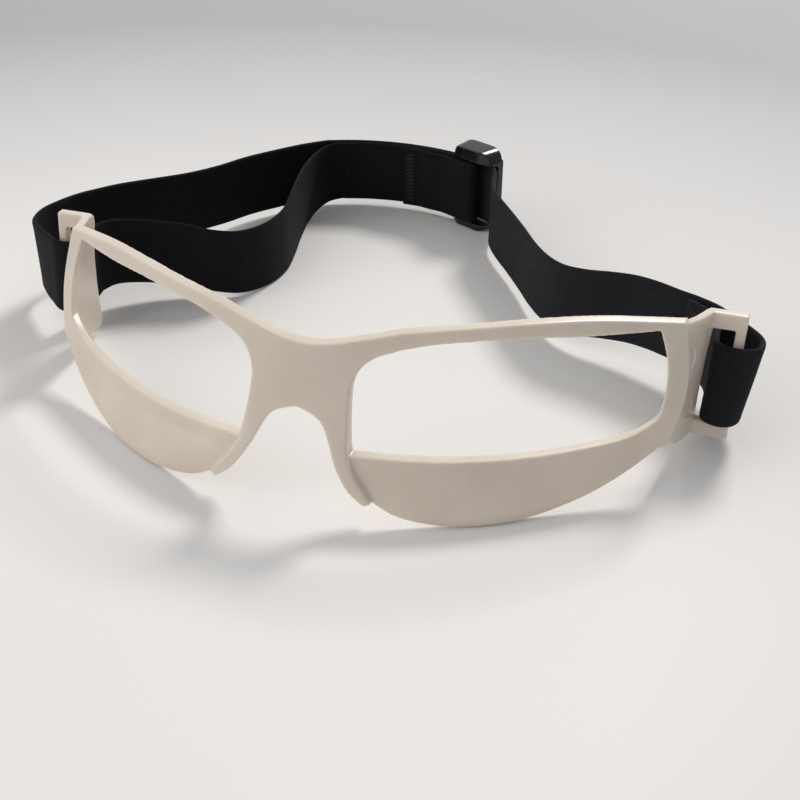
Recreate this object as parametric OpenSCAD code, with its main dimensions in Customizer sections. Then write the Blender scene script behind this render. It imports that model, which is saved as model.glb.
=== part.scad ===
// Open sports goggles: a wrap-round moulded frame with a blinder panel below each eye window,
// a strap loop at each temple, and an elastic head strap with a three-bar slider.
// X runs across the face, -Y is the front, +Z is up. The goggles stand on the plane Z = 0.

/* [Frame] */
// Depth by which the frame wraps back over a half width of 80 mm
wrap_depth = 37; // [30:0.5:42]
// Slope of the front face: how far it leans back per millimetre of height
lean = 0.42; // [0.3:0.02:0.5]
// Front of the bridge, measured at floor height
front_y = -61.8; // [-70:0.1:-58]
// Thickness of the brow bars, bridge and temple posts, front to back
frame_t = 3; // [2.4:0.1:3.4]
// Thickness of the blinder panels
blinder_t = 2.2; // [1.6:0.1:2.6]
// Forward belly of each blinder along its lower edge
blinder_belly = 1.8; // [0.5:0.1:2.5]
// Height by which the nose arms stand proud of the blinders
nose_proud = 1.6; // [0.8:0.1:2]

/* [Temples] */
// Outer half width over the strap bars
bar_outer_x = 90; // [89:0.1:91]
// Width of each strap bar across the face
bar_w = 2.5; // [2:0.1:2.6]
// Depth of the strap bars and their arms, front to back
bar_d = 2.6; // [2:0.1:2.8]
// Height of the underside of the lower arm
arm_low_z = 2.6; // [2:0.1:3]
// Height of the top of the upper arm
arm_top_z = 33.3; // [32.5:0.1:34]
// Thickness of the wing plates
wing_t = 2.4; // [1.8:0.1:2.6]

/* [Strap] */
// Width of the elastic webbing
strap_w = 20; // [19:0.1:20.1]
// Thickness of the elastic webbing
strap_t = 1.2; // [1:0.1:1.3]
// Radius of the curve that the outer webbing makes behind the head
back_r = 59.5; // [59.3:0.1:59.7]
// Height of the webbing above the floor at the slider
back_z = 2.4; // [2.4:0.1:2.5]

/* [Slider] */
// Length of the slider along the strap, as an angle on the back curve
slider_deg = 15.5; // [14:0.5:16]
// Height of the slider over its side rails
slider_h = 25.2; // [25:0.1:26]
// Width of the outer bars, as an angle on the back curve
slider_bar_deg = 3.2; // [2.6:0.1:3.4]
// Radius of the centre bar
centre_bar_r = 1.2; // [1:0.1:1.2]

/* [Hidden] */
$fn = 48;

frame_colour = "#d2c9bb";
strap_colour = "#1d1e22";
slider_colour = "#101114";
thread_colour = "#2b2c31";

half_w = 80;
centre = [-5.45, 22.35];
back_centre = [-25, 43.5];
slider_at = 64;
wing_turn = 11.5;
arm_x = 81;
bar_lean = 5;
running_gap = 0.4;
loop_t = 1;
tail_t = 2;
stitch_r = 0.25;

// Outlines of the right half of the frame, as [x, z] seen from the front.
window_top = [[20, 36.2], [30, 38], [44, 38.2], [58, 37], [72, 35.8]];
window_side = [[72, 35.8], [74.2, 29.5], [75, 23.5], [74.6, 18], [72.6, 13.8]];
window_nose = [[16.3, 35], [13.2, 32.6], [11.5, 28.6], [11.7, 24]];
brow_top = [[20, 39.9], [32, 40.9], [46, 41.1], [60, 40], [77, 36.6]];
bridge_top = [[0, 36.1], [8, 37.4], [20, 39.9]];
post_side = [[77, 36.6], [78.6, 29.5], [79.5, 23.5], [79.2, 18], [77.6, 12.4]];
arm_inner = [[1, 23.6], [5.8, 21.2], [8.4, 17], [11, 12], [14.2, 8], [17.4, 5.6]];
arm_outer = [[11.7, 24], [12, 20], [13, 15], [15, 11.4], [17.4, 8.4], [19.2, 6]];
ledge = [[15, 12.8], [22, 13.4], [34, 13.6], [48, 13.4], [62, 13.4], [72.6, 13.8]];
blinder_low = [[18.8, 6], [25, 2.8], [33, 0.9], [42, 0.1], [51, 0.5], [60, 2.1], [68, 5], [76.4, 11]];

// Side outline of a wing with its lower lobe, as [y, z].
wing_side = [[-17.6, 12.4], [-14.4, 18], [-13, 23.5], [-11.4, 29.5], [-10, 36.4], [2, 34.6],
    [3.2, 33.4], [3, 30.5], [0.8, 27], [-0.8, 22], [-2.1, 14], [-2.2, arm_low_z + 1.4],
    [-3.2, arm_low_z + 0.5], [-6, arm_low_z + 0.4], [-12, 4.8], [-16.4, 8.4]];

// Plan of the webbing, as [x, y, height of its lower edge].
right_fold_route = [[75.6, 17.4, 6.5], [80.8, 12.8, 6.6], [83.4, 7, 6.6],
    [83.6, 0, 6.6], [84, -3.6, 6.6], [86.2, -5.6, 6.6], [90, -5.6, 6.6], [92.5, -3.6, 6.6],
    [93.6, 0, 6.6], [92.8, 3.6, 6.6], [90, 8, 6.6], [86.8, 12.2, 6.6], [82.8, 16.4, 6.6],
    [77.6, 19.6, 6.5]];
right_run_route = [[77.6, 19.6, 6.5], [72.6, 21.8, 6.4], [67, 24.6, 6.3], [61, 27, 5.9], [54.8, 28.3, 5.2],
    [47.8, 29.6, 4.2], [41.4, 32.4, 3.3], [36, 37.6, 2.7], [31, 44.6, 2.4], [25.6, 53.8, 2.2],
    [19.4, 63.6, 2.1], [14, 71.6, 2.2], [10.6, 78, 2.3], [9.4, 82.6, 2.4], [8.9, 86.2, 2.4],
    [8.2, 89.4, 2.4], [6.9, 92.5, 2.4], [4.75, 95.03, 2.4]];
left_run_route = [[-51.1, 97, 2.4], [-57.2, 91.8, 2.3], [-64, 84.4, 2.2], [-70.4, 76, 2.3], [-75.4, 66.4, 2.6],
    [-81.2, 57, 3.2], [-88.4, 48, 4], [-94.6, 39.8, 4.8], [-98.4, 33.4, 5.3],
    [-101.4, 27.2, 5.8], [-103.4, 20.6, 6.2]];
left_fold_route = [[-103.4, 20.6, 6.2], [-104.5, 13.6, 6.5], [-103, 6.6, 6.6], [-98.8, 1.6, 6.6],
    [-93.8, -2.8, 6.6], [-90, -5.6, 6.6], [-87, -5.6, 6.6], [-85, -3.6, 6.6], [-84.6, 0, 6.6],
    [-85.1, 7.6, 6.5]];
inner_run_route = [[-85.1, 7.6, 6.5], [-83.6, 13, 6.2], [-79.2, 17.2, 5.4], [-73, 21.2, 4.2],
    [-65.6, 23.9, 3], [-58, 25.4, 1.7], [-51.4, 28.8, 0.8], [-47, 36.2, 0.3], [-45.6, 46.4, 0.1],
    [-47.4, 57.6, 0.1], [-49.8, 67.8, 0.1], [-51.8, 79, 0.3], [-52, 88, 0.9], [-50.2, 94, 1.8],
    [-46.6, 96.9, 2.4]];

// A smooth open curve through the points of p, with n steps between two of them.
function curve_point(a, b, c, d, t) =
    0.5 * (2 * b + (c - a) * t + (2 * a - 5 * b + 4 * c - d) * t * t
    + (3 * b - a - 3 * c + d) * t * t * t);
function curve(p, n) = [
    for (i = [0 : len(p) - 2])
        for (j = [0 : i == len(p) - 2 ? n : n - 1])
            curve_point(p[max(i - 1, 0)], p[i], p[i + 1], p[min(i + 2, len(p) - 1)], j / n)];

// The point at fraction s of a curve, and the whole curve read at n even steps.
function at(c, s) =
    let (k = min(floor(s * (len(c) - 1)), len(c) - 2), f = s * (len(c) - 1) - k)
    c[k] * (1 - f) + c[k + 1] * f;
function even(p, n) = let (c = curve(p, 8)) [for (i = [0 : n]) at(c, i / n)];

// The front face of the frame: wrapped round the face and leaning back.
function front_at(x, z) = front_y + wrap_depth * pow(abs(x) / half_w, 2) + lean * z;

// A panel whose front face is the grid g of points and whose back lies t behind it.
module panel(g, t) {
    rows = len(g);
    cols = len(g[0]);
    size = rows * cols;
    front = [for (r = g) for (p = r) p];
    back = [for (p = front) p + [0, t, 0]];
    function id(i, j) = i * cols + j;
    faces = concat(
        [for (i = [0 : rows - 2]) for (j = [0 : cols - 2])
            [id(i, j), id(i, j + 1), id(i + 1, j + 1), id(i + 1, j)]],
        [for (i = [0 : rows - 2]) for (j = [0 : cols - 2])
            [size + id(i, j), size + id(i + 1, j), size + id(i + 1, j + 1), size + id(i, j + 1)]],
        [for (i = [0 : rows - 2])
            [id(i, 0), id(i + 1, 0), size + id(i + 1, 0), size + id(i, 0)]],
        [for (i = [0 : rows - 2])
            [id(i, cols - 1), size + id(i, cols - 1), size + id(i + 1, cols - 1),
                id(i + 1, cols - 1)]],
        [for (j = [0 : cols - 2])
            [id(0, j), size + id(0, j), size + id(0, j + 1), id(0, j + 1)]],
        [for (j = [0 : cols - 2])
            [id(rows - 1, j), id(rows - 1, j + 1), size + id(rows - 1, j + 1),
                size + id(rows - 1, j)]]);
    polyhedron(points = concat(front, back), faces = faces);
}

// A strip of the frame between two outlines a and b, n steps long and m steps wide.
module strip(a, b, n, m, t, proud = 0) {
    ea = even(a, n);
    eb = even(b, n);
    panel([for (i = [0 : n]) [for (j = [0 : m])
        let (p = ea[i] + (eb[i] - ea[i]) * j / m)
        [p.x, front_at(p.x, p.y) - proud, p.y]]], t + proud);
}

// A length of webbing that stands on edge along a route of [x, y, height] points.
module webbing(route, n) {
    c = curve(route, n);
    last = len(c) - 1;
    side = [for (i = [0 : last])
        let (d = c[min(i + 1, last)] - c[max(i - 1, 0)], f = [d.x, d.y] / norm([d.x, d.y]))
        [-f.y, f.x] * strap_t / 2];
    points = [for (i = [0 : last]) for (k = [0 : 3])
        [c[i].x + side[i].x * (k < 2 ? 1 : -1), c[i].y + side[i].y * (k < 2 ? 1 : -1),
            c[i].z + (k == 1 || k == 2 ? strap_w : 0)]];
    walls = [for (i = [0 : last - 1]) for (k = [0 : 3])
        [4 * i + k, 4 * i + (k + 1) % 4, 4 * i + 4 + (k + 1) % 4, 4 * i + 4 + k]];
    ends = [[3, 2, 1, 0], [4 * last, 4 * last + 1, 4 * last + 2, 4 * last + 3]];
    polyhedron(points = points, faces = concat(walls, ends));
}

// A curved slab on the back curve: radii r1 to r2, angles a1 to a2, heights z1 to z2.
module back_arc(r1, r2, a1, a2, z1, z2) {
    translate([back_centre.x, back_centre.y, 0])
        rotate([0, 0, a1])
            rotate_extrude(angle = a2 - a1, $fn = 180)
                translate([r1, z1])
                    square([r2 - r1, z2 - z1]);
}

// A point on the back curve at radius r and angle a.
function back_point(r, a) = [back_centre.x + r * cos(a), back_centre.y + r * sin(a), 0];

// The goggles are centred over the origin; the left half mirrors the right.
module placed() {
    translate([-centre.x, -centre.y, 0]) children();
}
module on_left() {
    placed() mirror([1, 0, 0]) children();
}

module bridge() {
    rows = 6;
    cols = 12;
    top = even(bridge_top, cols / 2);
    nose = even(concat([bridge_top[2], [20, 36.2]], window_nose), rows);
    color(frame_colour)
        placed()
            panel([for (i = [0 : rows]) [for (j = [0 : cols])
                let (s = j / (cols / 2) - 1, k = abs(s), foot = 24 - 0.6 * (1 - k),
                    mid = at(top, k).y * (1 - i / rows) + foot * i / rows,
                    x = nose[i].x * s, z = mid + (nose[i].y - mid) * k)
                [x, front_at(x, z), z]]], frame_t);
}

module nose_arm() {
    strip(arm_inner, arm_outer, 10, 2, frame_t, nose_proud);
}
module right_nose_arm() {
    color(frame_colour) placed() nose_arm();
}
module left_nose_arm() {
    color(frame_colour) on_left() nose_arm();
}

module brow_bar() {
    strip(window_top, brow_top, 18, 2, frame_t);
}
module right_brow_bar() {
    color(frame_colour) placed() brow_bar();
}
module left_brow_bar() {
    color(frame_colour) on_left() brow_bar();
}

module temple_post() {
    strip(window_side, post_side, 10, 2, frame_t);
}
module right_temple_post() {
    color(frame_colour) placed() temple_post();
}
module left_temple_post() {
    color(frame_colour) on_left() temple_post();
}

module blinder() {
    n = 24;
    m = 6;
    low = even(blinder_low, n);
    high = even(ledge, n);
    panel([for (i = [0 : n]) [for (j = [0 : m])
        let (v = j / m, p = low[i] + (high[i] - low[i]) * v,
            belly = blinder_belly * sin(180 * i / n) * (1 - v * v))
        [p.x, front_at(p.x, p.y) - belly, p.y]]], blinder_t);
}
module right_blinder() {
    color(frame_colour) placed() blinder();
}
module left_blinder() {
    color(frame_colour) on_left() blinder();
}

// A prism across the face, w wide, whose side outline is the leaning strap bar from low to high.
module bar_piece(x, w, low, high) {
    rise = arm_top_z - arm_low_z;
    function lean_y(z) = -bar_lean * (arm_top_z - z) / rise;
    translate([x, 0, 0])
        rotate([90, 0, 90])
            linear_extrude(w)
                polygon([[lean_y(low), low], [lean_y(high), high],
                    [lean_y(high) + bar_d, high], [lean_y(low) + bar_d, low]]);
}

// The plate that carries the strap loop, with the loop's upper and lower arm.
module wing() {
    union() {
        translate([76.5, -17, 0])
            rotate([0, 0, -wing_turn])
                translate([0, 17, 0])
                    rotate([90, 0, 90])
                        linear_extrude(wing_t)
                            polygon(wing_side);
        bar_piece(arm_x, bar_outer_x - arm_x, arm_low_z, arm_low_z + 3.6);
        bar_piece(arm_x, bar_outer_x - arm_x, arm_top_z - 3.8, arm_top_z);
    }
}
module right_wing() {
    color(frame_colour) placed() wing();
}
module left_wing() {
    color(frame_colour) on_left() wing();
}

module strap_bar() {
    bar_piece(bar_outer_x - bar_w, bar_w, arm_low_z + 3.6, arm_top_z - 3.8);
}
module right_strap_bar() {
    color(frame_colour) placed() strap_bar();
}
module left_strap_bar() {
    color(frame_colour) on_left() strap_bar();
}

module strap_right_fold() {
    color(strap_colour) placed() webbing(right_fold_route, 4);
}

module strap_right_run() {
    color(strap_colour) placed() webbing(right_run_route, 4);
}

module strap_back_curve() {
    color(strap_colour)
        placed()
            back_arc(back_r - strap_t / 2, back_r + strap_t / 2, 60, 116, back_z,
                back_z + strap_w);
}

module strap_left_run() {
    color(strap_colour) placed() webbing(left_run_route, 4);
}

module strap_left_fold() {
    color(strap_colour) placed() webbing(left_fold_route, 4);
}

module strap_inner_run() {
    color(strap_colour) placed() webbing(inner_run_route, 4);
}

// The end of the inner webbing, which lies against the outer webbing.
module strap_inner_curve() {
    r = back_r - strap_t - running_gap - 0.3;
    color(strap_colour)
        placed()
            back_arc(r - strap_t / 2, r + strap_t / 2, 88, 112, back_z, back_z + strap_w);
}

centre_bar_r_at = back_r - strap_t / 2 - running_gap - centre_bar_r - 0.1 - loop_t;

// The doubled end of the webbing, sewn round the slider's centre bar.
module strap_slider_loop() {
    outer = centre_bar_r + 0.1 + loop_t;
    color(strap_colour)
        placed()
            difference() {
                union() {
                    translate(back_point(centre_bar_r_at, slider_at) + [0, 0, back_z])
                        cylinder(h = strap_w, r = outer);
                    back_arc(centre_bar_r_at - outer, centre_bar_r_at - outer + tail_t,
                        slider_at, 90, back_z, back_z + strap_w);
                }
                translate(back_point(centre_bar_r_at, slider_at) + [0, 0, back_z - 1])
                    cylinder(h = strap_w + 2, r = centre_bar_r + 0.1);
            }
}

// Two side rails joined by the two outer bars.
module slider_frame() {
    a1 = slider_at - slider_deg / 2;
    a2 = slider_at + slider_deg / 2;
    rail_in = centre_bar_r_at - centre_bar_r - 0.6;
    bar_in = back_r + strap_t / 2 + running_gap;
    bar_out = bar_in + 2.6;
    strap_top = back_z + strap_w + 0.3;
    inset = 0.3;
    color(slider_colour)
        placed()
            union() {
                back_arc(rail_in, bar_out, a1, a2, 0, back_z - 0.3);
                back_arc(rail_in, bar_out, a1, a2, strap_top, slider_h);
                for (a = [a1 + inset, a2 - slider_bar_deg - inset])
                    back_arc(bar_in, bar_out - inset, a, a + slider_bar_deg, 1, slider_h - 1);
            }
}

module slider_centre_bar() {
    color(slider_colour)
        placed()
            translate(back_point(centre_bar_r_at, slider_at) + [0, 0, back_z - 0.3])
                cylinder(h = strap_w + 0.6, r = centre_bar_r);
}

// Bar tacks: rows of short raised threads across the webbing.
module slider_end_stitches() {
    r = centre_bar_r_at - centre_bar_r - 0.1 - loop_t;
    color(thread_colour)
        placed()
            for (a = [86.4, 88.4])
                for (k = [0 : 5])
                    translate(back_point(r, a) + [0, 0, back_z + 1.6 + 3 * k])
                        cylinder(h = 1.8, r = stitch_r, $fn = 16);
}

module right_end_stitches() {
    color(thread_colour)
        placed()
            for (s = [0, 1])
                for (k = [0 : 5])
                    translate([76.3 + 1.4 * s, 15.8 - 1.25 * s, 8 + 3 * k])
                        cylinder(h = 1.8, r = stitch_r, $fn = 16);
}

bridge();
right_nose_arm();
left_nose_arm();
right_brow_bar();
left_brow_bar();
right_temple_post();
left_temple_post();
right_blinder();
left_blinder();
right_wing();
left_wing();
right_strap_bar();
left_strap_bar();
strap_right_fold();
strap_right_run();
strap_back_curve();
strap_left_run();
strap_left_fold();
strap_inner_run();
strap_inner_curve();
strap_slider_loop();
slider_frame();
slider_centre_bar();
slider_end_stitches();
right_end_stitches();
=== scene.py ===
import math

import bpy
import numpy as np
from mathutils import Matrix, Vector


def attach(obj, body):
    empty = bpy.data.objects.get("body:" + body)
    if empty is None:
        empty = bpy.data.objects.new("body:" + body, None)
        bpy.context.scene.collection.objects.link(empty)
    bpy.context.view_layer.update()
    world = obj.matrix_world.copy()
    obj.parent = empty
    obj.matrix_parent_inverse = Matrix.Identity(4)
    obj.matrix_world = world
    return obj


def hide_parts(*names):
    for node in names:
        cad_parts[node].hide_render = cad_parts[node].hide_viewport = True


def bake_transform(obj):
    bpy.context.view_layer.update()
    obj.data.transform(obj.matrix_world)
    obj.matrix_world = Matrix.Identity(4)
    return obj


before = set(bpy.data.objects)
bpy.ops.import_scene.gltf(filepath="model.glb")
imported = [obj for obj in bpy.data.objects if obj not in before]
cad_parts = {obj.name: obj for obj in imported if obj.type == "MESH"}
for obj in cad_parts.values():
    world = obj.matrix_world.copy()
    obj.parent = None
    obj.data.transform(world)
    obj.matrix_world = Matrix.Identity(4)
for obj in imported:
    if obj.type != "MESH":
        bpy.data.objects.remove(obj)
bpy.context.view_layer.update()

MM = 0.001
SHIFT = np.array([5.45, -22.35, 0.0])  # the frame's middle plane to the row's origin

# ---------------------------------------------------------------- curves and meshes


def curve(points, n):
    """A smooth open curve through the points, with n steps between two of them."""
    p = np.array(points, float)
    out = []
    for i in range(len(p) - 1):
        a, b = p[max(i - 1, 0)], p[i]
        c, d = p[i + 1], p[min(i + 2, len(p) - 1)]
        for j in range(n + (i == len(p) - 2)):
            t = j / n
            out.append(
                0.5
                * (2 * b + (c - a) * t + (2 * a - 5 * b + 4 * c - d) * t**2
                   + (3 * b - a - 3 * c + d) * t**3)
            )
    return np.array(out)


def even(points, n, smooth=True):
    """n + 1 points spaced evenly along the curve."""
    c = curve(points, 16) if smooth else np.array(points, float)
    s = np.concatenate([[0], np.cumsum(np.linalg.norm(np.diff(c[:, :3], axis=0), axis=1))])
    at = np.linspace(0, s[-1], n + 1)
    return np.stack([np.interp(at, s, c[:, k]) for k in range(c.shape[1])], 1)


def place(co):
    """Millimetres from the frame's middle plane to metres in the row frame."""
    return (np.asarray(co, float) + SHIFT) * MM


def new_mesh(name, verts, faces):
    mesh = bpy.data.meshes.new(name)
    mesh.from_pydata([tuple(v) for v in verts], [], [tuple(int(i) for i in f) for f in faces])
    mesh.update()
    obj = bpy.data.objects.new(name, mesh)
    bpy.context.scene.collection.objects.link(obj)
    return obj


def shade(obj, material, smooth=True):
    obj.data.materials.clear()
    obj.data.materials.append(material)
    obj.data.polygons.foreach_set("use_smooth", [smooth] * len(obj.data.polygons))
    return obj


def apply_modifiers(obj):
    graph = bpy.context.evaluated_depsgraph_get()
    mesh = bpy.data.meshes.new_from_object(obj.evaluated_get(graph))
    obj.modifiers.clear()
    old, obj.data = obj.data, mesh
    bpy.data.meshes.remove(old)
    return obj


def verts_of(obj):
    co = np.zeros(len(obj.data.vertices) * 3, np.float32)
    obj.data.vertices.foreach_get("co", co)
    return co.reshape(-1, 3).astype(float)


def set_verts(obj, co):
    obj.data.vertices.foreach_set("co", np.asarray(co, np.float32).ravel())
    obj.data.update()


class Solids:
    """A heap of closed solids that are fused into one moulding."""

    def __init__(self):
        self.verts, self.faces = [], []

    def add(self, verts, faces):
        base = len(self.verts)
        self.verts += [list(v) for v in verts]
        self.faces += [[base + i for i in f] for f in faces]

    def both(self, verts, faces):
        """Adds a right-hand solid and its mirror image."""
        self.add(verts, faces)
        self.add([[-v[0], v[1], v[2]] for v in verts], [f[::-1] for f in faces])

    def fuse(self, name, voxel, passes):
        obj = new_mesh(name, place(self.verts), self.faces)
        remesh = obj.modifiers.new("fuse", "REMESH")
        remesh.mode, remesh.voxel_size, remesh.adaptivity = "VOXEL", voxel * MM, 0.0
        apply_modifiers(obj)
        smooth = obj.modifiers.new("round", "SMOOTH")
        smooth.factor, smooth.iterations = 0.5, passes
        return apply_modifiers(obj)


def slab(front, back):
    """A closed solid between two grids of points of the same size."""
    rows, cols = front.shape[:2]
    verts = np.concatenate([front.reshape(-1, 3), back.reshape(-1, 3)])
    size = rows * cols
    at = lambda i, j: i * cols + j
    faces = []
    for i in range(rows - 1):
        for j in range(cols - 1):
            a, b, c, d = at(i, j), at(i, j + 1), at(i + 1, j + 1), at(i + 1, j)
            faces += [[a, b, c, d], [size + d, size + c, size + b, size + a]]
    for i in range(rows - 1):
        for j, flip in ((0, False), (cols - 1, True)):
            f = [at(i, j), at(i + 1, j), size + at(i + 1, j), size + at(i, j)]
            faces.append(f[::-1] if flip else f)
    for j in range(cols - 1):
        for i, flip in ((0, True), (rows - 1, False)):
            f = [at(i, j), at(i, j + 1), size + at(i, j + 1), size + at(i, j)]
            faces.append(f[::-1] if flip else f)
    return verts, faces


def prism(outline, low, high):
    """A closed prism: outline [y, z] run along X from low to high."""
    n = len(outline)
    a = [[low, y, z] for y, z in outline]
    b = [[high, y, z] for y, z in outline]
    sides = [[i, (i + 1) % n, n + (i + 1) % n, n + i] for i in range(n)]
    return a + b, sides + [list(range(n))[::-1], list(range(n, 2 * n))]


# ---------------------------------------------------------------- the frame's shape

WINDOW_TOP = [[18.2, 35.8], [22, 36.8], [30, 38], [44, 38.2], [58, 37], [72, 35.8]]
WINDOW_SIDE = [[72, 35.8], [74.2, 29.5], [75, 23.5], [74.6, 18], [72.6, 13.8], [71, 11.6]]
WINDOW_NOSE = [[20, 36.2], [16.3, 35], [13.2, 32.6], [11.5, 28.6], [11.7, 24]]
BROW_TOP = [[18.2, 39.5], [22, 40.2], [32, 40.9], [46, 41.1], [60, 40], [77, 36.6]]
BRIDGE_TOP = [[0, 36.4], [3, 36.5], [7, 37.1], [12, 38.2], [20, 39.9]]
POST_SIDE = [[77, 36.6], [78.6, 29.5], [79.5, 23.5], [79.2, 18], [77.8, 12.6], [76.6, 10.4]]
ARM_INNER = [[0, 23.4], [5.4, 21.4], [8.2, 17.4], [10.8, 12.4], [14, 8.2], [17.6, 5.5]]
ARM_OUTER = [[11.2, 26], [11.66, 24], [11.85, 21.6], [12.8, 15], [14.8, 11.4], [17.2, 8.6],
             [19.2, 6.1]]
LEDGE = [[11.4, 14.9], [16, 14.8], [22, 14.6], [34, 14], [48, 13.6], [60, 13.7], [68, 14.2],
         [72, 15.5], [75, 17.4]]
SEAM = [[15, 11.4], [18, 11.4], [24, 11.6], [34, 11.1], [48, 10.7], [62, 10.8], [76, 11.6]]
LOW_EDGE = [[17.8, 6.2], [24, 3], [32, 1.1], [40, 0.3], [48, 0.4], [56, 1.7], [64, 4.1],
            [71, 7.6], [77.6, 12]]
WING_FRONT = [[-6, 2.8], [-11, 4.4], [-16.4, 6.8], [-21.4, 10.3], [-22, 12.6], [-18.8, 18],
              [-15.8, 23.5], [-13.6, 29.5], [-12, 36]]
WING_REAR = [[-3.6, 2.8], [-2.4, 4], [-2.1, 14], [-0.8, 22], [0.8, 27], [3, 30.5],
             [2.9, 33.2], [-4, 34.2], [-11.4, 36]]


def front_at(x, z):
    """The frame's front face, wrapped round the face and leaning back."""
    s = np.abs(x) / 80
    return -61.8 + 39.9 * s**2 - 1.3 * s**4 - 2.7 * s**6 + 0.42 * z


def grid(a, b, n, m, smooth_b=True):
    """[n + 1, m + 1] points (x, z) between two outlines."""
    ea, eb = even(a, n), even(b, n, smooth_b)
    v = np.linspace(0, 1, m + 1)[None, :, None]
    return ea[:, None, :] * (1 - v) + eb[:, None, :] * v


def panel(xz, t, ahead=0.0):
    """A slab whose front is ahead (a number or one per row) of the front face, t thick."""
    x, z = xz[..., 0], xz[..., 1]
    y = front_at(x, z)
    front = np.stack([x, y - ahead, z], -1)
    back = np.stack([x, y + t, z], -1)
    return slab(front, back)


def bridge_grid(rows=16, cols=24):
    top, nose = even(BRIDGE_TOP, cols // 2), even(WINDOW_NOSE, rows)
    s = np.linspace(-1, 1, cols + 1)
    out = np.zeros((rows + 1, cols + 1, 2))
    k = np.abs(s)
    peak = np.interp(k, np.linspace(0, 1, cols // 2 + 1), top[:, 1])
    for i in range(rows + 1):
        v = max(0.0, (i - 1) / (rows - 1))
        side = nose[max(i - 1, 0)] if i else np.array([20, 39.9])
        mid = peak * (1 - v) + 23.2 * v if i else peak
        out[i, :, 0] = side[0] * s
        out[i, :, 1] = mid + (side[1] - mid) * k**2 if i else peak
    out[1:, :, 1] = np.minimum(out[1:, :, 1], out[:1, :, 1] - 0.02)
    return out


def blinder(n=72, m=20):
    """The blinder below a window: a barrel-shaped shell that curls under at its lower edge."""
    low, high = even(LOW_EDGE, n), even(SEAM, n)
    v = np.linspace(0, 1, m + 1)[None, :]
    xz = low[:, None, :] * (1 - v[..., None]) + high[:, None, :] * v[..., None]
    x, z = xz[..., 0], xz[..., 1]
    ends = np.sin(np.pi * np.clip(np.linspace(-0.02, 1.02, n + 1), 0, 1))[:, None] ** 0.7
    belly = 1.9 * ends * (1 - v**2) - 1.5 * (1 - v) ** 5 * ends
    y = front_at(x, z)
    front = np.stack([x, y - belly, z], -1)
    back = np.stack([x, y - belly * 0.8 + 2.1, z], -1)
    return slab(front, back)


def wing_x(y, z):
    """The inner face of a wing plate, which leans in with the temple post in front of it."""
    turn = 76.5 + (y + 17) * math.tan(math.radians(11.5))
    return turn - 0.2 * np.maximum(z - 23.0, 0) * np.clip(-y / 12, 0, 1)


def wing_plate(n=40, m=14):
    z = np.linspace(2.8, 36, n + 1)
    front, rear = np.array(WING_FRONT, float), np.array(WING_REAR, float)
    y1, y2 = np.interp(z, front[:, 1], front[:, 0]), np.interp(z, rear[:, 1], rear[:, 0])
    v = np.linspace(0, 1, m + 1)[None, :]
    y = y1[:, None] * (1 - v) + y2[:, None] * v
    zz = np.repeat(z[:, None], m + 1, 1)
    x = wing_x(y, zz)
    return slab(np.stack([x + 2.3, y, zz], -1), np.stack([x, y, zz], -1))


def bar_lean(z):
    return -5 * (33.3 - z) / 30.3


def bar_outline(low, high, d=2.6):
    return [[bar_lean(low), low], [bar_lean(high), high],
            [bar_lean(high) + d, high], [bar_lean(low) + d, low]]


def moulding():
    """The one-piece plastic frame."""
    s = Solids()
    s.add(*panel(bridge_grid(), 3.2))
    proud = np.clip((np.linspace(0, 1, 33) - 0.1) / 0.6, 0, 1)[:, None]
    s.both(*panel(grid(ARM_INNER, ARM_OUTER, 32, 6), 3.2, 1.7 * proud**2 * (3 - 2 * proud)))
    s.both(*panel(grid(WINDOW_TOP, BROW_TOP, 60, 4), 3.1))
    s.both(*panel(grid(WINDOW_SIDE, POST_SIDE, 32, 5), 3.0))
    s.both(*panel(grid(LEDGE, SEAM, 60, 4), 2.95))
    s.both(*blinder())
    s.both(*wing_plate())
    for low, high in ((2.8, 6.4), (29.6, 33.4)):
        s.both(*prism(bar_outline(low, high)[::-1], 81, 90))
    s.both(*prism(bar_outline(4, 32)[::-1], 87.6, 90))
    return s.fuse("frame_moulding", 0.16, 40)


MARKS = ((-11, 27), (-9.5, 12.5))  # ejector marks on a wing, [y, z]
MARK_R, MARK_RIM, MARK_DEEP = 2.2, 0.35, 0.22


def moulding_marks(obj):
    """Ejector marks on the wings, and how deep each point lies behind the front face."""
    co = verts_of(obj)
    mm = co / MM - SHIFT
    for side in (-1, 1):
        for y, z in MARKS:
            outer = wing_x(mm[:, 1], mm[:, 2]) + 1.2
            r = np.hypot(mm[:, 1] - y, mm[:, 2] - z)
            near = (mm[:, 0] * side > outer) & (r < 2.4) & (mm[:, 0] * side < 84)
            dip = MARK_DEEP * np.clip((MARK_R - r) / MARK_RIM, 0, 1)
            co[near, 0] -= side * dip[near] * MM
    set_verts(obj, co)
    depth = obj.data.attributes.new("depth", "FLOAT", "POINT")
    d = mm[:, 1] - front_at(mm[:, 0], mm[:, 2])
    depth.data.foreach_set("value", d.astype(np.float32))


# ---------------------------------------------------------------- the webbing

CENTRE = np.array([-25.0, 43.5])  # plan centre of the strap's curve behind the head
WIDTH, THICK = 20.0, 1.2
BACK_R, BACK_Z = 59.5, 2.4  # the back curve's radius and the height of its lower edge
BAR_R, BAR_ANGLE = 56.2, 64  # where the slider's centre bar stands
BAR = CENTRE + BAR_R * np.array([math.cos(math.radians(BAR_ANGLE)),
                                 math.sin(math.radians(BAR_ANGLE))])


def arc(r, a1, a2, z, step=2.0):
    """Plan points [x, y, z] along the back curve from angle a1 to a2."""
    n = max(2, int(abs(a2 - a1) / step))
    a = np.radians(np.linspace(a1, a2, n + 1))
    return [[CENTRE[0] + r * math.cos(t), CENTRE[1] + r * math.sin(t), z] for t in a]


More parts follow.
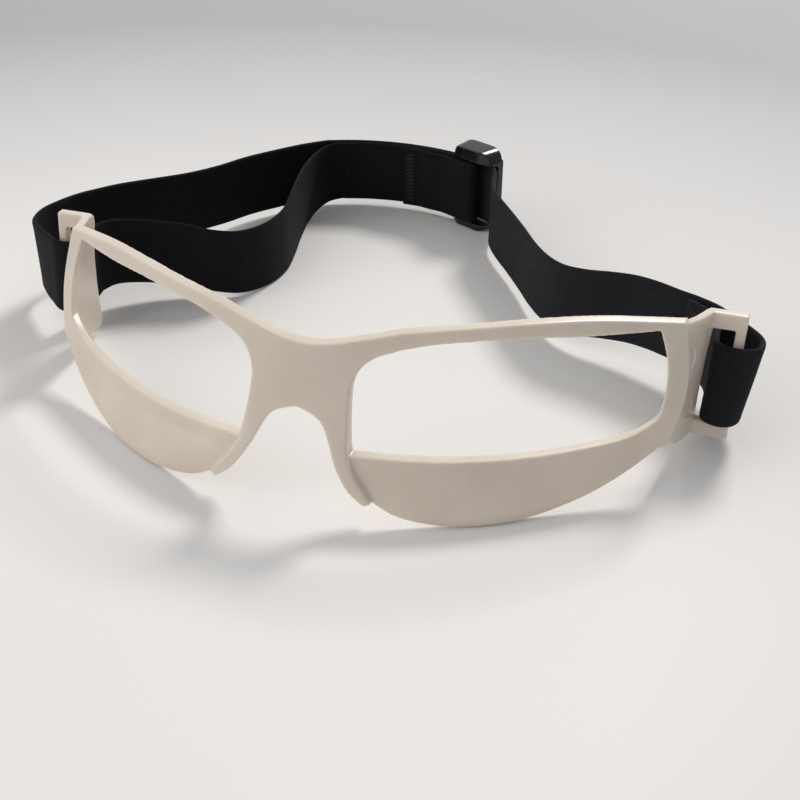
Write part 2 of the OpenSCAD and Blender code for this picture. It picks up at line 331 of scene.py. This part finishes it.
# Each point is [x, y, height of the lower edge, then how far the top edge leans in x and y].
RIGHT_FOLD = [[75.6, 17.4, 6.5, 0, 0], [80.8, 12.8, 6.6, 0, 0.5], [83.4, 7, 6.6, 0, 1.5],
              [83.4, 0, 6.6, 0.2, 2.6], [83.6, -3.8, 6.6, 0.4, 3.0], [86, -5.6, 6.6, 0.8, 3.1],
              [89, -5.6, 6.6, 1.6, 3.1], [91.2, -3.6, 6.6, 2.4, 2.8], [91.6, 0, 6.6, 2.6, 2.2],
              [91.2, 3.6, 6.6, 2.2, 1.4], [89.2, 8, 6.6, 1.4, 0.6], [86.4, 12.2, 6.6, 0.6, 0],
              [82.8, 16.4, 6.6, 0, 0], [77.6, 19.6, 6.5, 0, 0]]
RIGHT_RUN = [[72.6, 21.8, 6.4], [67, 24.6, 6.3], [61, 27, 5.9], [54.8, 28.3, 5.2],
             [47.8, 29.6, 4.2], [41.4, 32.4, 3.3], [36, 37.6, 2.7], [31, 44.6, 2.4],
             [25.6, 53.8, 2.2], [19.4, 63.6, 2.1], [14, 71.6, 2.2], [10.6, 78, 2.3],
             [9.4, 82.6, 2.4], [8.9, 86.2, 2.4], [8.2, 89.4, 2.4], [6.9, 92.5, 2.4]]
LEFT_RUN = [[-57.2, 91.8, 2.3], [-64, 84.4, 2.2], [-70.4, 76, 2.3], [-75.4, 66.4, 2.6],
            [-81.2, 57, 3.2], [-88.4, 48, 4], [-94.6, 39.8, 4.8], [-98.4, 33.4, 5.3],
            [-101.4, 27.2, 5.8], [-103.4, 20.6, 6.2]]
LEFT_FOLD = [[-104.5, 13.6, 6.5, 0, 0], [-103, 6.6, 6.6, 0, 0.4], [-98.8, 1.6, 6.6, 0, 1.4],
             [-93.8, -2.8, 6.6, 0, 2.6], [-90, -5.6, 6.6, 0, 3.1], [-86.4, -5.6, 6.6, 0, 3.1],
             [-84, -3.6, 6.6, 0, 3.0], [-83.8, 0, 6.6, 0, 2.4], [-85.1, 7.6, 6.5, 0, 0]]
INNER_RUN = [[-85.1, 7.6, 6.5], [-83.6, 13, 6.2], [-79.2, 17.2, 5.4], [-73, 21.0, 4.2],
             [-65.6, 23.9, 3], [-58, 25.4, 1.7], [-51.4, 28.8, 0.8], [-47, 36.2, 0.3],
             [-45.6, 46.4, 0.1], [-47.4, 57.6, 0.1], [-49.8, 67.8, 0.1], [-51.8, 79, 0.3],
             [-52, 88, 0.9], [-50.2, 94, 1.8], [-46.6, 96.9, 2.4]]


def padded(route):
    """The route with no lean where a point gives none."""
    return [list(p) + [0] * (5 - len(p)) for p in route]


def ribbon(name, route, material, thick=THICK, start=0.0, wobble=0.12):
    """Webbing on edge along route, with rounded selvedges; its UVs are millimetres."""
    route = padded(route)
    length = np.linalg.norm(np.diff(curve(route, 16)[:, :3], axis=0), axis=1).sum()
    n = int(length / 0.6)
    c = even(route, n)
    d = np.gradient(c[:, :2], axis=0)
    d /= np.linalg.norm(d, axis=1)[:, None]
    side = np.stack([-d[:, 1], d[:, 0]], 1)
    half = thick / 2
    across = np.concatenate([[0.0, 0.12, 0.45, 1.0], np.linspace(1.6, WIDTH - 1.6, 15),
                             [WIDTH - 1.0, WIDTH - 0.45, WIDTH - 0.12, WIDTH]])
    edge = np.minimum(across, WIDTH - across)
    fat = half * np.where(edge < 0.6, np.sqrt(np.clip(1 - (1 - edge / 0.6) ** 2, 0, 1)), 1.0)
    fat = fat * (1 + 0.10 * np.exp(-((edge - 1.1) / 0.5) ** 2))
    ring = np.concatenate([np.stack([across, fat], 1), np.stack([across, -fat], 1)[::-1][1:-1]])
    k = len(ring)
    u = np.linspace(0, length, n + 1)
    crown = np.sin(np.pi * ring[:, 0] / WIDTH)[None, :]
    bend = wobble * np.sin(u / 9.0 + start)[:, None] * crown
    rise = 0.1 * np.sin(u / 13.0 + 1.7)[:, None] * (ring[:, 0] / WIDTH)[None, :]
    off = ring[:, 1][None, :] + bend
    co = np.zeros((n + 1, k, 3))
    up = ring[:, 0][None, :] / WIDTH
    co[..., 0] = c[:, 0, None] + side[:, 0, None] * off + c[:, 3, None] * up
    co[..., 1] = c[:, 1, None] + side[:, 1, None] * off + c[:, 4, None] * up
    co[..., 2] = c[:, 2, None] + ring[:, 0][None, :] + rise
    faces = [[i * k + j, i * k + (j + 1) % k, (i + 1) * k + (j + 1) % k, (i + 1) * k + j]
             for i in range(n) for j in range(k)]
    faces += [list(range(k))[::-1], [n * k + j for j in range(k)]]
    obj = new_mesh(name, place(co.reshape(-1, 3)), faces)
    uv = obj.data.uv_layers.new(name="strap")
    loops = np.zeros(len(obj.data.loops), np.int32)
    obj.data.loops.foreach_get("vertex_index", loops)
    uvs = np.stack([start + u[loops // k], ring[loops % k, 0]], 1)
    uv.data.foreach_set("uv", uvs.astype(np.float32).ravel())
    return shade(obj, material)


# ---------------------------------------------------------------- materials


def nodes_of(material):
    material.use_nodes = True
    tree = material.node_tree
    return tree, tree.nodes["Principled BSDF"]


def math_node(tree, kind, a, b=None):
    n = tree.nodes.new("ShaderNodeMath")
    n.operation = kind
    for i, v in enumerate((a, b)):
        if v is None:
            continue
        if isinstance(v, (int, float)):
            n.inputs[i].default_value = v
        else:
            tree.links.new(v, n.inputs[i])
    return n.outputs[0]


def noise(tree, scale, detail, vector=None, rough=0.5):
    n = tree.nodes.new("ShaderNodeTexNoise")
    n.inputs["Scale"].default_value = scale
    n.inputs["Detail"].default_value = detail
    n.inputs["Roughness"].default_value = rough
    if vector is not None:
        tree.links.new(vector, n.inputs["Vector"])
    return n.outputs["Fac"]


def ramp(tree, value, stops):
    n = tree.nodes.new("ShaderNodeValToRGB")
    while len(n.color_ramp.elements) < len(stops):
        n.color_ramp.elements.new(0.5)
    for e, (p, c) in zip(n.color_ramp.elements, stops):
        e.position, e.color = p, (*c, 1)
    tree.links.new(value, n.inputs["Fac"])
    return n.outputs["Color"]


def multiply(tree, a, b):
    n = tree.nodes.new("ShaderNodeMix")
    n.data_type, n.blend_type = "RGBA", "MULTIPLY"
    n.inputs[0].default_value = 1.0
    tree.links.new(a, n.inputs[6])
    tree.links.new(b, n.inputs[7])
    return n.outputs[2]


def bump(tree, height, strength, distance, before=None):
    n = tree.nodes.new("ShaderNodeBump")
    n.inputs["Strength"].default_value = strength
    n.inputs["Distance"].default_value = distance
    tree.links.new(height, n.inputs["Height"])
    if before is not None:
        tree.links.new(before, n.inputs["Normal"])
    return n.outputs["Normal"]


def object_coords(tree):
    return tree.nodes.new("ShaderNodeTexCoord").outputs["Object"]


def plastic():
    """Milky off-white moulded plastic with a satin skin, a parting line and fine scuffs."""
    m = bpy.data.materials.new("frame_plastic_look")
    tree, b = nodes_of(m)
    at = object_coords(tree)
    cloud = noise(tree, 55, 3, at)
    colour = ramp(tree, cloud, [(0.3, (0.66, 0.585, 0.495)), (0.7, (0.73, 0.655, 0.565))])
    tree.links.new(colour, b.inputs["Base Color"])
    b.inputs["Subsurface Weight"].default_value = 0.35
    b.inputs["Subsurface Radius"].default_value = (1.0, 0.85, 0.65)
    b.inputs["Subsurface Scale"].default_value = 0.003
    b.inputs["Specular IOR Level"].default_value = 0.5
    b.inputs["Coat Weight"].default_value = 0.25
    b.inputs["Coat Roughness"].default_value = 0.24
    scuff = noise(tree, 900, 4, at, 0.7)
    rough = math_node(tree, "MULTIPLY_ADD", scuff, 0.22)
    rough.node.inputs[2].default_value = 0.22
    tree.links.new(rough, b.inputs["Roughness"])
    depth = tree.nodes.new("ShaderNodeAttribute")
    depth.attribute_name = "depth"
    off = math_node(tree, "ABSOLUTE", math_node(tree, "SUBTRACT", depth.outputs["Fac"], 1.7))
    line = math_node(tree, "SUBTRACT", 1.0, math_node(tree, "MULTIPLY", off, 6.0))
    line = math_node(tree, "MAXIMUM", line, 0.0)
    peel = bump(tree, noise(tree, 380, 2, at), 0.12, 0.0004)
    fine = bump(tree, noise(tree, 2600, 3, at), 0.10, 0.0001, peel)
    tree.links.new(bump(tree, line, 0.25, 0.00008, fine), b.inputs["Normal"])
    return m


def webbing():
    """Black woven elastic: ribs crossed by the weft, with painted light making its right end
    paler and the rest darker.
    """
    m = bpy.data.materials.new("webbing_look")
    tree, b = nodes_of(m)
    uv = tree.nodes.new("ShaderNodeUVMap")
    uv.uv_map = "strap"
    split = tree.nodes.new("ShaderNodeSeparateXYZ")
    tree.links.new(uv.outputs["UV"], split.inputs["Vector"])
    u, v = split.outputs["X"], split.outputs["Y"]
    row = math_node(tree, "MULTIPLY", v, 1 / 0.62)
    odd = math_node(tree, "MODULO", math_node(tree, "FLOOR", row), 2.0)
    shifted = math_node(tree, "ADD", math_node(tree, "MULTIPLY", u, 1 / 0.9),
                        math_node(tree, "MULTIPLY", odd, 0.5))
    rib = math_node(tree, "ABSOLUTE",
                    math_node(tree, "SINE", math_node(tree, "MULTIPLY", row, math.pi)))
    pick = math_node(tree, "ABSOLUTE",
                     math_node(tree, "SINE", math_node(tree, "MULTIPLY", shifted, math.pi)))
    weave = math_node(tree, "MULTIPLY", math_node(tree, "POWER", rib, 0.6),
                      math_node(tree, "ADD", math_node(tree, "MULTIPLY", pick, 0.6), 0.4))
    at = object_coords(tree)
    fuzz = noise(tree, 2200, 3, at, 0.7)
    worn = noise(tree, 60, 4, at)
    height = math_node(tree, "ADD", weave, math_node(tree, "MULTIPLY", fuzz, 0.6))
    shine = math_node(tree, "ADD", math_node(tree, "MULTIPLY", weave, 0.55),
                      math_node(tree, "MULTIPLY", worn, 0.45))
    colour = ramp(tree, shine, [(0.15, (0.003, 0.0032, 0.0039)), (0.85, (0.010, 0.0105, 0.0128))])
    # painted light: the webbing's right end (its fold and right run) is brightened and the rest
    # darkened along its length, standing in for light falling on the right
    painted_light_right = ramp(tree, math_node(tree, "MULTIPLY", u, 0.0025),
                 [(0.42, (1.7, 1.7, 1.75)), (0.56, (0.7, 0.7, 0.72))])
    tree.links.new(multiply(tree, colour, painted_light_right), b.inputs["Base Color"])
    b.inputs["Roughness"].default_value = 0.82
    b.inputs["Specular IOR Level"].default_value = 0.16
    b.inputs["Sheen Weight"].default_value = 0.03
    b.inputs["Sheen Roughness"].default_value = 0.5
    b.inputs["Sheen Tint"].default_value = (0.75, 0.8, 1.0, 1)
    tree.links.new(bump(tree, height, 0.75, 0.00022), b.inputs["Normal"])
    return m


def gloss_black():
    """Glossy black nylon with faint moulding ripple and hair scratches."""
    m = bpy.data.materials.new("slider_look")
    tree, b = nodes_of(m)
    at = object_coords(tree)
    colour = ramp(tree, noise(tree, 120, 3, at),
                  [(0.3, (0.004, 0.004, 0.005)), (0.7, (0.009, 0.009, 0.011))])
    tree.links.new(colour, b.inputs["Base Color"])
    rough = math_node(tree, "MULTIPLY_ADD", noise(tree, 1500, 4, at, 0.7), 0.25)
    rough.node.inputs[2].default_value = 0.1
    tree.links.new(rough, b.inputs["Roughness"])
    tree.links.new(bump(tree, noise(tree, 420, 2, at), 0.15, 0.0003), b.inputs["Normal"])
    return m


def thread():
    """Black polyester sewing thread, twisted."""
    m = bpy.data.materials.new("thread_look")
    tree, b = nodes_of(m)
    wave = tree.nodes.new("ShaderNodeTexWave")
    wave.inputs["Scale"].default_value = 900
    wave.bands_direction = "DIAGONAL"
    tree.links.new(object_coords(tree), wave.inputs["Vector"])
    colour = ramp(tree, wave.outputs["Fac"],
                  [(0.2, (0.006, 0.006, 0.008)), (0.8, (0.022, 0.022, 0.026))])
    tree.links.new(colour, b.inputs["Base Color"])
    b.inputs["Roughness"].default_value = 0.5
    tree.links.new(bump(tree, wave.outputs["Fac"], 0.4, 0.0001), b.inputs["Normal"])
    return m


def paper():
    """The pale table top, with painted shade that darkens it into a softer bluish grey behind and
    at the sides.
    """
    m = bpy.data.materials.new("table_look")
    tree, b = nodes_of(m)
    at = object_coords(tree)
    grain = ramp(tree, noise(tree, 4, 3, at),
                 [(0.3, (0.80, 0.785, 0.765)), (0.7, (0.83, 0.815, 0.80))])
    away = tree.nodes.new("ShaderNodeVectorMath")
    away.operation = "DISTANCE"
    tree.links.new(at, away.inputs[0])
    away.inputs[1].default_value = (-0.03, -0.09, 0.0)
    # painted shade: the table's colour darkens with distance from a spot near the frame's front,
    # standing in for light falling off
    painted_floor_shade = ramp(tree, away.outputs["Value"], [(0.12, (1, 1, 1)), (0.38, (0.50, 0.515, 0.545))])
    tree.links.new(multiply(tree, grain, painted_floor_shade), b.inputs["Base Color"])
    b.inputs["Roughness"].default_value = 0.6
    b.inputs["Specular IOR Level"].default_value = 0.2
    tree.links.new(bump(tree, noise(tree, 700, 3, at), 0.06, 0.0003), b.inputs["Normal"])
    return m


# ---------------------------------------------------------------- the pieces


def build_frame(look):
    obj = moulding()
    moulding_marks(obj)
    shade(obj, look)
    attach(obj, "goggles")
    sides = [side + "_" + part for side in ("right", "left")
             for part in ("nose_arm", "brow_bar", "temple_post", "blinder", "wing", "strap_bar")]
    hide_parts("bridge", *sides)


def build_band(look):
    """The webbing from its sewn right end, through the slider, to the left loop."""
    back = arc(BACK_R, 60, 116, BACK_Z)
    route = RIGHT_FOLD + RIGHT_RUN + back + LEFT_RUN + LEFT_FOLD
    obj = ribbon("strap_band", route, look)
    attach(obj, "goggles")
    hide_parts("strap_right_fold", "strap_right_run", "strap_back_curve",
                "strap_left_run", "strap_left_fold")


def return_route():
    """Inner run, then along the back curve, round the slider's centre bar and back."""
    loop_r = 1.75
    lead = arc(57.5, 110, 82, BACK_Z) + arc(57.8, 76, 68, BACK_Z, 4)
    turn = [[BAR[0] + loop_r * math.cos(t), BAR[1] + loop_r * math.sin(t), BACK_Z]
            for t in np.radians(np.linspace(BAR_ANGLE, BAR_ANGLE - 180, 9))]
    back = (arc(54.6, 69, 69, BACK_Z, 4)[:1] + arc(55.4, 75, 80, BACK_Z, 4)
            + arc(55.9, 84, 90, BACK_Z))
    return INNER_RUN + lead + turn + back


def build_return(look):
    obj = ribbon("strap_return", return_route(), look, thick=1.0, start=400.0, wobble=0.06)
    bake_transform(obj)
    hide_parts("strap_inner_run", "strap_inner_curve", "strap_slider_loop")


def slider_grid(s, inner, outer, low, high, a1, a2, n=24):
    """A slab along the back curve; inner and outer radius, low and high edge per position."""
    t = np.linspace(-1, 1, n + 1)
    a = np.radians(a1 + (a2 - a1) * (t + 1) / 2)
    ring = lambda r, z: np.stack([CENTRE[0] + r(t) * np.cos(a), CENTRE[1] + r(t) * np.sin(a),
                                  z(t)], 1)
    front = np.stack([ring(inner, low), ring(inner, high)], 1)
    back = np.stack([ring(outer, low), ring(outer, high)], 1)
    s.add(*slab(front, back))


def build_slider(look):
    """The three-bar slider: side rails with rounded ends, two outer bars and the centre bar."""
    s = Solids()
    a1, a2, mid_r = 56.8, 72.4, 59.9
    still = lambda v: (lambda t: np.full(len(t), float(v)))
    drop = lambda t: 4.0 * (1 - np.sqrt(1 - np.clip((np.abs(t) - 0.5) / 0.5, 0, 0.999) ** 2))
    body = lambda t: 1 - 0.55 * np.clip((np.abs(t) - 0.35) / 0.65, 0, 1) ** 2
    inner = lambda t: mid_r - 4.9 * body(t)
    outer = lambda t: mid_r + 2.9 * body(t) ** 0.3
    for low, high in ((lambda t: 0.05 + drop(t), lambda t: 2.1 + drop(t) * 0.2),
                      (lambda t: 22.9 - drop(t) * 0.2, lambda t: 26.9 - drop(t))):
        slider_grid(s, inner, outer, low, high, a1, a2)
    for a in (a1, a2 - 3.2):
        slider_grid(s, still(60.35), still(62.7), still(2), still(23.6), a, a + 3.2, 6)
    bar_radius = 1.2
    a = np.linspace(0, 2 * np.pi, 17)[:-1]
    ring = [[BAR[0] + bar_radius * math.cos(t), BAR[1] + bar_radius * math.sin(t)] for t in a]
    low, high = [[*xy, 1] for xy in ring], [[*xy, 24.4] for xy in ring]
    n = len(a)
    s.add(low + high, [[i, (i + 1) % n, n + (i + 1) % n, n + i] for i in range(n)]
          + [list(range(n))[::-1], list(range(n, 2 * n))])
    obj = s.fuse("slider", 0.16, 26)
    shade(obj, look)
    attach(obj, "slider")
    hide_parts("slider_frame", "slider_centre_bar")


def zigzag(name, points, radius, look, body, node):
    """A bar tack: one thread through the points, sewn up and down across the webbing."""
    data = bpy.data.curves.new(name, "CURVE")
    data.dimensions = "3D"
    spline = data.splines.new("POLY")
    spline.points.add(len(points) - 1)
    for p, q in zip(spline.points, place(points)):
        p.co = (*q, 1)
    data.bevel_depth, data.bevel_resolution = radius * MM, 3
    obj = bpy.data.objects.new(name, data)
    bpy.context.scene.collection.objects.link(obj)
    graph = bpy.context.evaluated_depsgraph_get()
    mesh = bpy.data.meshes.new_from_object(obj.evaluated_get(graph))
    bpy.data.objects.remove(obj)
    obj = bpy.data.objects.new(name, mesh)
    bpy.context.scene.collection.objects.link(obj)
    shade(obj, look)
    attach(obj, body)
    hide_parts(node)


def tack(centre, along, out, n=26, wide=2.2, low=4.2, high=20.4):
    """Zigzag points for a bar tack about centre (x, y), on a face that looks along out."""
    points = []
    for i in range(n + 1):
        z = low + (high - low) * i / n
        w = wide / 2 * (1 if i % 2 else -1)
        for k in (-1, 0, 1):
            lift = 0.16 if k == 0 else -0.05
            w_k = w * (1 if k == 0 else 0.98)
            points.append([centre[0] + along[0] * w_k + out[0] * lift,
                           centre[1] + along[1] * w_k + out[1] * lift, z + 0.12 * k])
    return points


def build_stitches(look):
    a = math.radians(87.4)
    out = -np.array([math.cos(a), math.sin(a)])
    along = np.array([-math.sin(a), math.cos(a)])
    centre = CENTRE - out * 55.25
    zigzag("slider_tack", tack(centre, along, out), 0.17, look, "slider", "slider_end_stitches")
    along = np.array([5.2, -4.6]) / 6.94
    out = np.array([-4.6, -5.2]) / 6.94
    centre = np.array([77.4, 15.85]) + out * 0.6
    zigzag("right_tack", tack(centre, along, out, low=8.2, high=24.6), 0.17, look,
           "goggles", "right_end_stitches")


def build_table():
    s = 3.0
    floor = new_mesh("table", [[-s, -s, 0], [s, -s, 0], [s, s, 0], [-s, s, 0]], [[0, 1, 2, 3]])
    shade(floor, paper(), False)


def area(name, at, aim, size, power, colour):
    data = bpy.data.lights.new(name, "AREA")
    data.shape, data.size, data.energy, data.color = "DISK", size, power, colour
    obj = bpy.data.objects.new(name, data)
    bpy.context.scene.collection.objects.link(obj)
    obj.location = at
    obj.rotation_euler = (Vector(aim) - Vector(at)).to_track_quat("-Z", "Y").to_euler()


def sky():
    """Soft studio surroundings, brighter on the left than on the right."""
    world = bpy.data.worlds.new("studio")
    bpy.context.scene.world = world
    world.use_nodes = True
    tree = world.node_tree
    split = tree.nodes.new("ShaderNodeSeparateXYZ")
    at = tree.nodes.new("ShaderNodeTexCoord")
    tree.links.new(at.outputs["Generated"], split.inputs["Vector"])
    side = math_node(tree, "ADD", math_node(tree, "MULTIPLY", split.outputs["X"], 0.5), 0.5)
    colour = ramp(tree, side, [(0.1, (1.0, 0.985, 0.96)), (0.85, (0.34, 0.36, 0.40))])
    back = tree.nodes["Background"]
    tree.links.new(colour, back.inputs["Color"])
    back.inputs["Strength"].default_value = 0.86


def lights():
    sky()
    toward = Vector((0.32, 1.2, 1.2)).normalized()
    area("key", toward * 1.9, (0, 0, 0), 0.5, 22, (1.0, 0.965, 0.925))
    area("fill", (-1.3, -0.9, 0.8), (0, 0, 0), 1.0, 4.5, (1.0, 0.98, 0.95))


def camera():
    data = bpy.data.cameras.new("view")
    data.lens, data.sensor_width = 51.75, 36.0
    data.clip_start, data.clip_end = 0.01, 20
    obj = bpy.data.objects.new("view", data)
    bpy.context.scene.collection.objects.link(obj)
    obj.location = place([85.767, -239.804, 163.662])
    obj.rotation_euler = (math.radians(56), 0, math.radians(18.28))
    bpy.context.scene.camera = obj


build_frame(plastic())
web = webbing()
build_band(web)
build_return(web)
build_slider(gloss_black())
build_stitches(thread())
build_table()
lights()
camera()
bpy.context.scene.view_settings.view_transform = "Standard"
